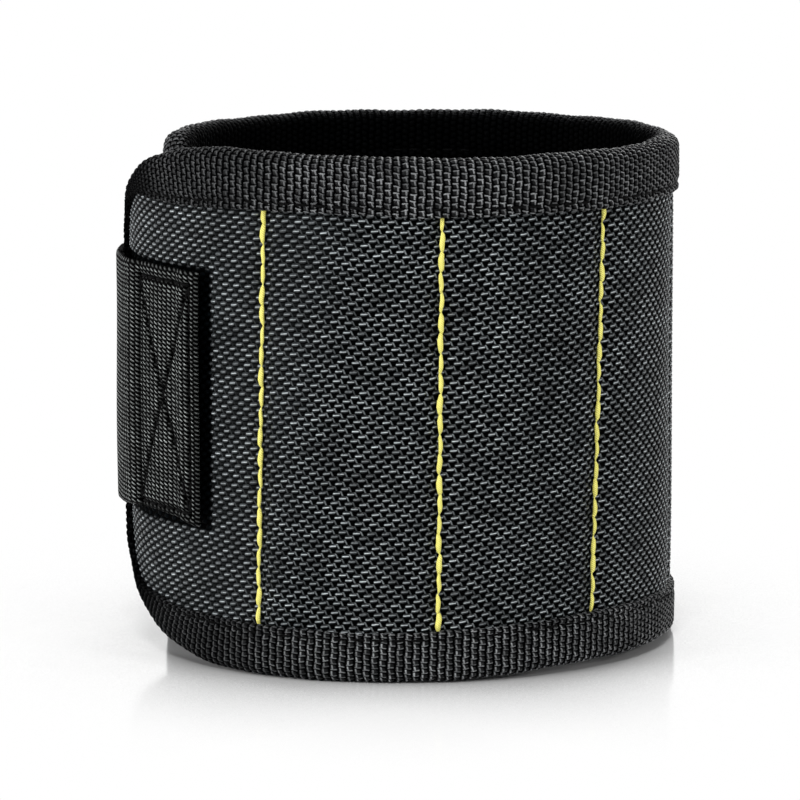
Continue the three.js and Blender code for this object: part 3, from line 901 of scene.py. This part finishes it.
def knotNodes(tree, i, j):
    calc = calculator(tree)
    column = calc("FLOOR", i)
    odd = calc("PINGPONG", column, 1.0)
    counted = calc("MULTIPLY_ADD", odd, 0.5, j)
    across, along = fromMiddle(calc, i), fromMiddle(calc, counted)
    power = tape["loopSquare"]
    squares = [calc("POWER", calc("MULTIPLY", calc("ABSOLUTE", side), 2.0), power) for side in (across, along)]
    fromCentre = calc("POWER", calc("ADD", *squares), 1 / power)
    (lean, aside, legReach), (down, footAside, footReach) = tape["loopLeg"], tape["loopFoot"]
    strands = []  # painted highlight lines on one leg and the foot of each loop
    for line, far, reach in (
        (calc("MULTIPLY_ADD", along, lean, calc("ADD", across, aside)), along, legReach),
        (calc("ADD", along, down), calc("SUBTRACT", across, footAside), footReach),
    ):
        within = calc("MULTIPLY", calc("SUBTRACT", reach, calc("ABSOLUTE", far)), tape["lineEnd"])
        thin = calc("POWER", roundTop(calc, line, tape["lineWidth"]), tape["lineCrest"])
        strands.append(calc("MULTIPLY", thin, addClamp(tree, within)))
    share = uneven(tree, column, calc("FLOOR", counted), tape["evenest"])
    return roundTop(calc, fromCentre, 1.0), calc("MULTIPLY", calc("MAXIMUM", *strands), share)


def tapeNodes(k, side):
    return [f"{body}_binding" if body in ("tongue", "wrap_end") else f"{body}_{side}_binding" for body in sections[k]]


tapeCloth = yarnMaterial("tapeCloth", knotNodes, **tape["look"])
topCuts, lowCuts = ([outlineSpot(cut, top) for cut in cuts] for top in (True, False))
tapeRuns = [("tape_tongue", 0, "top", topCuts[1], lowCuts[1])]
for k in range(1, 8):
    tapeRuns.append((f"tape_top_{k}", k, "top", topCuts[k + 1], topCuts[k]))
    tapeRuns.append((f"tape_bottom_{k}", k, "bottom", lowCuts[k], lowCuts[k + 1]))
tapeRuns.append(("tape_end", 8, "top", lowCuts[8], topCuts[8] + outlineLength))
for name, k, side, start, end in tapeRuns:
    steps = tape["columnPitch"] / 4, tape["knotPitch"] / 4
    piece, flat, along, across = flatGrid(name, (start, end), (0, tapeWidth), *steps)
    columns = along / tape["columnPitch"] + ripples(along, across, tape["drift"])
    knots = columns, across / tape["knotPitch"] + ripples(along, across, tape["slip"])
    fade = smooth(np.minimum(across, tapeWidth - across), *tape["knotFade"])
    grooveDepth, grooveWidth = tape["groove"]
    out = tape["knotRise"] * (tapeKnots(*knots) - tape["knotMean"]) * fade + ripples(along, across, tape["waver"])
    out -= grooveDepth * sum(bell(across - row, grooveWidth) for row in sewnRows)
    setPoints(piece, tapePlace(along, across, out))
    at = np.interp(np.mod(along, outlineLength), outlineAt, outline[:, 0])
    # painted light along the outline, and painted shade on the leg inside the band
    worn = tape["wornLeast"] + sum(share * smooth(at, *span) for share, *span in tape["worn"])
    shown = smooth(across - tape["back"], *tape["shownFrom"])
    keepFlat(piece, flat, knots, worn * (tape["insideShade"] + (1 - tape["insideShade"]) * shown))
    dress(piece, tapeCloth, tapeNodes(k, side))
    follow(piece, k)
print("binding tape is folded on")


# Plain finishes: one texture gives the colour and the relief
def plainMaterial(name, place, texture, tones, bump, rough, **settings):  # rough may be a pair, one for each tone
    made, tree, shader = newMaterial(name)
    kind, values = texture
    fac = addNode(tree, kind, Vector=place(tree), **values).outputs["Fac"]
    if isinstance(rough, tuple):
        rough = addRamp(tree, fac, [(stop, grey) for (stop, _), grey in zip(tones, rough)])
    colour, normal = addRamp(tree, fac, tones), addBump(tree, fac, *bump)
    setUp(shader, {"Base Color": colour, "Normal": normal, "Roughness": rough, **settings})
    return made


# Stitches: one stretched bead, repeated in a row and laid along its line
stitch = {"segments": 8, "rings": 7, "fullness": 1.2, "dive": 0.3, "twistAngle": 0.7, "relief": (0.5, 0.12)}
tapeStitch = {"pitch": 3.3, "size": (2.7, 0.5, 0.4), "sinks": (-0.22, -0.47)}


def threadPlace(tree):
    turned = {"Vector": attributePlace(tree, "flatPlace"), "Rotation": (0, 0, stitch["twistAngle"])}
    return addNode(tree, "ShaderNodeMapping", **turned).outputs["Vector"]


def threadMaterial(name, dark, light, rough, twist, shine):
    plies = "ShaderNodeTexWave", {"Scale": twist, "Distortion": 0.6, "Detail": 1.0}
    tones = [(0.1, dark), (0.7, light)]
    return plainMaterial(name, threadPlace, plies, tones, stitch["relief"], rough, **{"Specular IOR Level": shine})


def stitchRow(name, count, pitch, size, sharpness):  # X along the row, size is length, width and height
    deselect()
    bpy.ops.mesh.primitive_uv_sphere_add(
        segments=stitch["segments"], ring_count=stitch["rings"], radius=0.5, rotation=(0, math.pi / 2, 0)
    )
    applyPlace()
    bpy.ops.transform.resize(value=size)
    applyPlace()
    piece = bpy.context.object
    piece.name = piece.data.name = name
    blunt = pointsOf(piece)
    half = size[0] / 2
    share = np.clip(np.abs(blunt[:, 0]) / half, 0, 1)
    blunt[:, 0] = np.sign(blunt[:, 0]) * half * (1 - (1 - share) ** stitch["fullness"])  # fuller ends
    setPoints(piece, blunt)
    repeatPiece(piece, count, (pitch, 0, 0))
    flat = pointsOf(piece)
    keepPlaces(piece, "flatPlace", flat)
    own = flat[:, 0] - np.round(flat[:, 0] / pitch) * pitch
    return piece, flat, own, stitch["dive"] * (2 * own / size[0]) ** sharpness  # each end goes down into the cloth


yellowThread = threadMaterial("yellowThread", (0.60, 0.54, 0.09), (0.92, 0.87, 0.23), 0.5, 1.1, 0.4)
blackThread = threadMaterial("blackThread", (0.0005, 0.0005, 0.0005), (0.0018, 0.0018, 0.002), 0.7, 1.6, 0.06)
for number in range(5):
    name = f"seam_stitches_{number + 1}"
    piece, flat, own, dive = stitchRow(name, seam["count"], seam["pitch"], seam["size"], 4)
    which = np.round(flat[:, 0] / seam["pitch"])
    tilt, slack, slip, wander = (ripples(which, number, seam[key]) for key in ("tilt", "slack", "slip", "wander"))
    height = seam["foot"] + seam["pitch"] / 2 + flat[:, 0] + slip
    run = seamLine(number, height) - flat[:, 1] * (1 + slack) + tilt * own
    run = run + wander + ripples(height, number, seam["waver"])
    setPoints(piece, ringPlace(run, seam["sink"][number] + flat[:, 2] * (1 + slack) - dive, height))
    dress(piece, yellowThread, [f"seam_{number + 1}_thread"])
    follow(piece, number + 1)
for name, k, side, start, end in tapeRuns:
    count = max(2, round((end - start) / tapeStitch["pitch"]))
    pitch = (end - start) / count
    rows = []
    for row, sink in zip(sewnRows, tapeStitch["sinks"]):
        piece, flat, own, dive = stitchRow(f"{name}_row", count, pitch, tapeStitch["size"], 2)
        setPoints(piece, tapePlace(start + pitch / 2 + flat[:, 0], row + flat[:, 1], flat[:, 2] + sink - dive))
        rows.append(piece)
    piece = joinPieces(name.replace("tape_", "tape_stitches_"), rows)
    dress(piece, blackThread, [])
    follow(piece, k)
print("stitches are sewn")


# Strap: ribbed webbing, sewn to the tongue, over its end and down on to the loop pads
strap = {
    "width": 45.0,
    "thickness": 1.05,
    "wall": {"root": 1.2, "peel": 0.8, "bend": 0.8, "tip": 0.8},
    "onCloth": 0.3,
    "onTape": 1.1,  # more on the tape than on the cloth
    "tapeSpan": (-23, -19),
    "onWrap": 2.9,
    "ribPitch": 1.4,
    "dashPitch": 0.76,
    "dashDrift": ((0.05, 0.8, 0.0, 0.0),),
    "ribRise": 0.26,
    "ribWidth": 1.9,
    "ribMean": 0.6,
    "ribFade": (0.1, 0.8),  # from the edges
    "ribCrest": 5.0,
    "dashSlope": -0.75,
    "dashRise": (0.42, 0.58),
    "dashCrest": 2.2,
    "evenest": 0.3,
    "waver": ((0.10, 0.07, 0.14, 0.0),),
    "edgeRound": 0.8,
    "edgeDrop": 0.45,
    # painted shade along the strap's edges and ends
    "edgeShade": (0.84, 0.2, 1.1),
    "peel": (30.0, 48.0),
    "bend": (57.0, 93.0),
    "innermost": -1.5,  # just inside the hooks
    "lineSteps": 2400,
    "tipRound": 8.0,
    "foldedEnd": (0.8, 3.0, 6.5),  # the sewn end is turned under and stands thicker
    "lowerTrim": ((0, 0.3), (5, 1.1), (12, 1.5), (19, 1.5), (27, 0.6), (34, 0.0)),  # drawn up by the box stitch
    "trimSpan": (18, 22.5),
    "steps": (1.4 / 6, 0.5),
    "look": {
        # gaps in painted shade, the webbing, and the painted highlights on the dashes
        "colours": [(0.0003, 0.0003, 0.0003), (0.0048, 0.0055, 0.0052), (0.37, 0.40, 0.387)],
        "stops": (0.45, 0.8), "rough": 0.35, "grain": (4.0, 3.0, 1.0), "depth": 0.2, "shine": 0.24,
    },
}
boxStitch = {
    "corners": ((18.3, 27.0), (1.3, 27.0), (1.3, 67.0), (18.3, 67.0)),
    "lines": ((0, 1), (1, 2), (2, 3), (3, 0), (0, 2), (1, 3)),
    "dent": 0.5,
    "dentWidth": 0.45,
    # painted shade along the pressed box-stitch lines
    "lineShade": 0.45,
    "pitch": 2.9,
    "size": (2.5, 0.55, 0.45),
    "sink": 0.28,
}
strapEnd = tipTurn - math.degrees(ring["strapReach"] / clothRadius)


def strapRadius(turn):  # the strap's inner face, as in the solids
    fromTip = np.radians(tipTurn - turn) * clothRadius
    stand = standOff(np.radians(turn) * clothRadius)
    high = clothRadius + strap["onCloth"] + stand + strap["onTape"] * smooth(fromTip, *strap["tapeSpan"])
    low = bandRadius(turn + 360) + strap["onWrap"]
    return high + (low - high) * smooth(fromTip, 0, ring["strapDrop"])


strapTurns = np.linspace(rootTurn + ring["strapMore"], strapEnd, strap["lineSteps"])
strapRays = np.column_stack((np.sin(np.radians(strapTurns)), -np.cos(np.radians(strapTurns))))
strapAt, strapLine, strapOut = alongLine(ringCentre + strapRadius(strapTurns)[:, None] * strapRays)
strapAt -= np.interp(-rootTurn, -strapTurns, strapAt)  # 0 at the root's end
strapStart, strapLength = strapAt[0], strapAt[-1]


def strapPlace(along, out, height):  # mm from the root's end, off the strap's inner face, up
    spot = between(along, strapAt, strapLine) + between(along, strapAt, strapOut) * np.asarray(out)[:, None]
    return np.column_stack((spot, height)) * mm


def strapFollow(piece, part):
    if part in ("root", "tip"):
        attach(piece, "tongue" if part == "root" else "strap_tip")
        return
    inside = np.full(2, strap["innermost"])
    start, end = strapPlace(np.array(strap[part]), inside, np.full(2, ring["strapMiddle"]))
    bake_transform(piece)


def ribNodes(tree, i, j):  # upright ribs of slanting dashes, with a painted highlight on each dash
    calc = calculator(tree)
    across = fromMiddle(calc, i)
    beat = calc("MULTIPLY_ADD", across, strap["dashSlope"], j)
    dash = calc("COSINE", calc("MULTIPLY", beat, 2 * math.pi))
    section = roundTop(calc, across, strap["ribWidth"])
    lit = calc("POWER", calc("MAXIMUM", dash, 0.0), strap["dashCrest"])
    crest = calc("MULTIPLY", calc("POWER", section, strap["ribCrest"]), lit)
    share = uneven(tree, calc("FLOOR", i), calc("FLOOR", calc("ADD", beat, 0.5)), strap["evenest"])
    rise = calc("MULTIPLY", section, calc("MULTIPLY_ADD", dash, *strap["dashRise"]))
    return rise, calc("MULTIPLY", crest, share)


def nearLine(along, height, line):  # distance from a sewn line
    start, end = line
    length = np.linalg.norm(end - start)
    way = (end - start) / length
    at = np.column_stack((along, height)) - start
    return np.linalg.norm(at - np.clip(at @ way, 0, length)[:, None] * way, axis=1)


def strapHalf(along):  # half width, with the rounded tip
    missing = np.clip(1 - (strapLength - along) / strap["tipRound"], 0, 1)
    return strap["width"] / 2 - strap["tipRound"] * (1 - dome(missing))


def folded(along):
    more, *span = strap["foldedEnd"]
    return more * (1 - smooth(along, *span))


strapWebbing = yarnMaterial("strapWebbing", ribNodes, **strap["look"])
boxCorners = np.array(boxStitch["corners"])
boxLines = [boxCorners[list(ends)] for ends in boxStitch["lines"]]
strapParts = [
    ("strap_sewn", "root", strapStart, strap["peel"][0], ["strap_root"]),
    ("strap_over_end", "peel", strap["peel"][0], strap["bend"][0], ["strap_root", "strap_middle"]),
    ("strap_grip", "bend", *strap["bend"], ["strap_middle", "strap_tip"]),
    ("strap_free_tip", "tip", strap["bend"][1], strapLength, ["strap_tip"]),
]
for name, part, start, end, nodes in strapParts:
    steps = strap["steps"][0], strap["steps"][1] / strap["width"] * 2
    piece, flat, along, share = flatGrid(name, (start, end), (-1, 1), *steps)
    across = share * strapHalf(along)
    height = ring["strapMiddle"] + across + lookUp(along, strap["lowerTrim"]) * smooth(-across, *strap["trimSpan"])
    ribs = along / strap["ribPitch"], height / strap["dashPitch"] + ripples(along, height, strap["dashDrift"])
    rib = dome((ribs[0] % 1 - 0.5) * strap["ribWidth"])
    fromEnds = np.minimum(along - strapStart, strapLength - along)
    fromSide = np.minimum(strapHalf(along) - np.abs(across), fromEnds)
    drop = 1 - dome(np.clip(1 - fromSide / strap["edgeRound"], 0, 1))
    out = strap["ribRise"] * (rib - strap["ribMean"]) * smooth(fromSide, *strap["ribFade"])
    out += strap["thickness"] - strap["edgeDrop"] * drop + folded(along) + ripples(along, height, strap["waver"])
    # painted shade along the edges
    least, *span = strap["edgeShade"]
    tone = least + (1 - least) * smooth(fromSide, *span)
    if part == "root":
        for line in boxLines:
            pressed = bell(nearLine(along, height, line), boxStitch["dentWidth"])
            out -= boxStitch["dent"] * pressed
            # painted shade along the pressed lines
            tone *= 1 - boxStitch["lineShade"] * pressed
    setPoints(piece, strapPlace(along, out, height))
    keepFlat(piece, np.column_stack((along, height)), ribs, tone)
    turnFaces()
    dress(piece, strapWebbing, nodes)
    wall = piece.modifiers.new("wall", "SOLIDIFY")
    wall.thickness = strap["wall"][part] * mm
    wall.offset = -1
    bpy.ops.object.modifier_apply(modifier=wall.name)
    strapFollow(piece, part)

rows = []
for start, end in boxLines:
    length = np.linalg.norm(end - start)
    count = round(length / boxStitch["pitch"])
    pitch = length / count
    piece, flat, own, dive = stitchRow("box_row", count, pitch, boxStitch["size"], 2)
    way = (end - start) / length
    spot = start + np.outer(flat[:, 0] + pitch / 2, way) + np.outer(flat[:, 1], (-way[1], way[0]))
    out = strap["thickness"] - boxStitch["sink"] + folded(spot[:, 0]) + flat[:, 2] - dive
    setPoints(piece, strapPlace(spot[:, 0], out, spot[:, 1]))
    rows.append(piece)
boxThread = joinPieces("strap_box_stitches", rows)
dress(boxThread, blackThread, [])
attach(boxThread, "tongue")
print("strap is on")


# Loop pads on the wrapped end: low uneven pile, under the strap
loop = {
    "turns": (173.56, 258.17),
    "half": 26.5,
    "low": 0.1,
    "high": 1.15,
    "pile": 0.22,
    "edge": 1.2,
    "steps": (0.6, 0.6),
    "seed": 7,
}
grip = np.random.default_rng(loop["seed"])


def padGrid(name, start, end, pad):
    sides = ring["strapMiddle"] - pad["half"], ring["strapMiddle"] + pad["half"]
    return flatGrid(name, (start, end), sides, *pad["steps"])


def padMaterial(name, dark, light, scale, rough):
    curls = "ShaderNodeTexNoise", {"Scale": scale, "Detail": 4.0, "Distortion": 1.5}
    return plainMaterial(
        name, lambda tree: attributePlace(tree, "yarnPlace"), curls, [(0.35, dark), (0.7, light)], (1.0, 0.3), rough,
        **{"Specular IOR Level": 0.2, "Sheen Weight": 0.05},
    )


loopPile = padMaterial("loopPile", (0.001, 0.001, 0.0012), (0.018, 0.0185, 0.02), 1.7, 0.85)
for name, k, start, end, nodes in (
    ("loop_pile_1", 6, runOf(loop["turns"][0]), cuts[7], ["loop_pad_1"]),
    ("loop_pile_2", 7, cuts[7], runOf(loop["turns"][1]), ["loop_pad_1", "loop_pad_2"]),
):
    piece, flat, run, height = padGrid(name, start, end, loop)
    fromSide = loop["half"] - np.abs(height - ring["strapMiddle"])
    fromEnd = run - start if k == 6 else end - run
    edge = smooth(np.minimum(fromSide, fromEnd), 0, loop["edge"])
    tufts = grip.uniform(-1, 1, len(flat)) * loop["pile"]
    setPoints(piece, ringPlace(run, loop["low"] + (loop["high"] - loop["low"] + tufts - loop["pile"]) * edge, height))
    keepFlat(piece, flat, (run, height))
    dress(piece, loopPile, nodes)
    follow(piece, k)

# Hook pads inside the strap: a backing with rows of bent hooks
hook = {
    "starts": 55.5,
    "ends": 102.0,
    "half": 20.0,
    "back": 0.35,
    "steps": (0.8, 1.0),
    "pitch": 1.6,
    "reach": 0.85,
    "thick": 0.24,
    "bends": ((0.4, 0.0, 0.0), (0.25, 0.05, 25.0), (0.1, 0.18, 50.0), (-0.12, 0.2, 55.0)),  # up, aside, degrees
    "tall": 0.75,  # as bent
    "taper": 0.85,
    "buried": 0.05,
}
hookNylon = padMaterial("hookNylon", (0.003, 0.003, 0.0032), (0.012, 0.012, 0.0125), 2.5, 0.45)


def oneHook():  # a small bent peg, extruded and turned step by step
    deselect()
    bpy.ops.mesh.primitive_circle_add(vertices=4, radius=hook["thick"], fill_type="NGON")
    piece = bpy.context.object
    setMode("EDIT")
    bpy.ops.mesh.select_all(action="SELECT")
    for rise, side, turn in hook["bends"]:
        bpy.ops.mesh.extrude_region_move(TRANSFORM_OT_translate={"value": (side, 0, rise)})
        bpy.ops.transform.rotate(value=-math.radians(turn), orient_axis="Y", center_override=(side, 0, rise))
        bpy.ops.transform.resize(value=[hook["taper"]] * 3)
    setMode("OBJECT")
    return piece


for name, part, start, end, nodes in (
    ("hook_tape_1", "bend", hook["starts"], strap["bend"][1], ["hook_pad_1", "hook_pad_2"]),
    ("hook_tape_2", "tip", strap["bend"][1], hook["ends"], ["hook_pad_2"]),
):
    backing, flat, along, height = padGrid(name, start, end, hook)
    setPoints(backing, strapPlace(along, np.full(len(flat), -hook["back"]), height))
    keepFlat(backing, flat, (along, height))
    peg = oneHook()
    repeatPiece(peg, int((end - start) / hook["pitch"]), (hook["pitch"], 0, 0))
    repeatPiece(peg, int(2 * hook["half"] / hook["pitch"]), (0, hook["pitch"], 0))
    pegs = pointsOf(peg)
    along = start + hook["pitch"] / 2 + pegs[:, 0]
    height = ring["strapMiddle"] - hook["half"] + hook["pitch"] / 2 + pegs[:, 1]
    out = hook["buried"] - hook["back"] - pegs[:, 2] * hook["reach"] / hook["tall"]
    setPoints(peg, strapPlace(np.clip(along, start, end), out, height))
    keepFlat(peg, np.column_stack((along, height)), (along, height))
    joinPieces(name, [backing, peg])
    dress(backing, hookNylon, nodes)
    strapFollow(backing, part)
print("pads are on")


# Magnets and their carriers, inside the pockets
def hardMaterial(name, tones, metal, rough, grainScale, depth):
    grain = "ShaderNodeTexNoise", {"Scale": grainScale, "Detail": 4.0}
    return plainMaterial(
        name, lambda tree: addNode(tree, "ShaderNodeTexCoord").outputs["Object"], grain,
        list(zip((0.3, 0.7), tones)), (0.4, depth), rough, Metallic=metal,
    )


nickel = hardMaterial("nickelPlate", ((0.58, 0.57, 0.55), (0.70, 0.69, 0.67)), 1.0, (0.16, 0.3), 900, 0.02)
plastic = hardMaterial("carrierPlastic", ((0.20, 0.205, 0.20), (0.26, 0.265, 0.26)), 0.0, (0.45, 0.6), 1600, 0.05)
for node in frame["nodes"]:
    if "magnet" in node:
        insideNode = bpy.data.objects[node]
        insideNode.data.materials.clear()
        insideNode.data.materials.append(plastic if node.endswith("carrier") else nickel)
print("magnets are finished")
